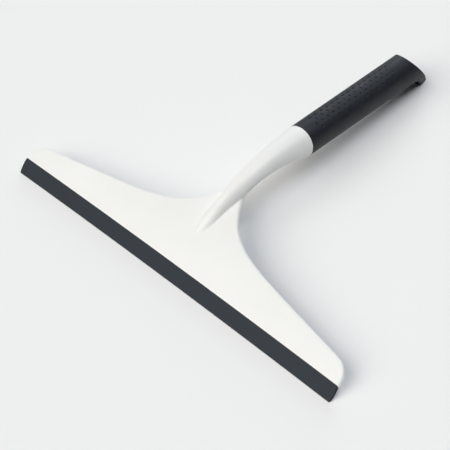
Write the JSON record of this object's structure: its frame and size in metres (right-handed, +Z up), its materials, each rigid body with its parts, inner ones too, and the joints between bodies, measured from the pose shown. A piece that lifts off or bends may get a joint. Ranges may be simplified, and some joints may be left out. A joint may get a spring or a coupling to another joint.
{
  "type": "window cleaning squeegee",
  "caption": "Window squeegee with an arched white head that runs into a round neck, a straight rubber blade, a soft dark grip and an end cap with a hanging lip.",
  "frame": {"origin": "middle of the outer box, on the table that the squeegee lies on", "axes": "+X along the blade, +Y from the blade to the end of the handle, +Z up from the table"},
  "size_m": [0.25, 0.237, 0.0374],
  "materials": {
    "white_plastic": "satin moulded polypropylene",
    "blade_rubber": "matte soft rubber",
    "grip_rubber": "matte dimpled soft elastomer",
    "cap_plastic": "smooth satin plastic"
  },
  "bodies": {
    "handle": {"body": "white_plastic", "blade_root": "blade_rubber", "grip_sleeve": "grip_rubber", "end_cap": "cap_plastic"},
    "blade_edge": {"blade_lip": "blade_rubber"}
  },
  "joints": [
    {"name": "blade_flex", "type": "hinge", "parent": "handle", "child": "blade_edge", "pos_m": [0, -0.11277, 0.00554], "axis": [1, 0, 0], "range_deg": [-25, 25], "stiffness_Nm_per_rad": 0.3}
  ]
}
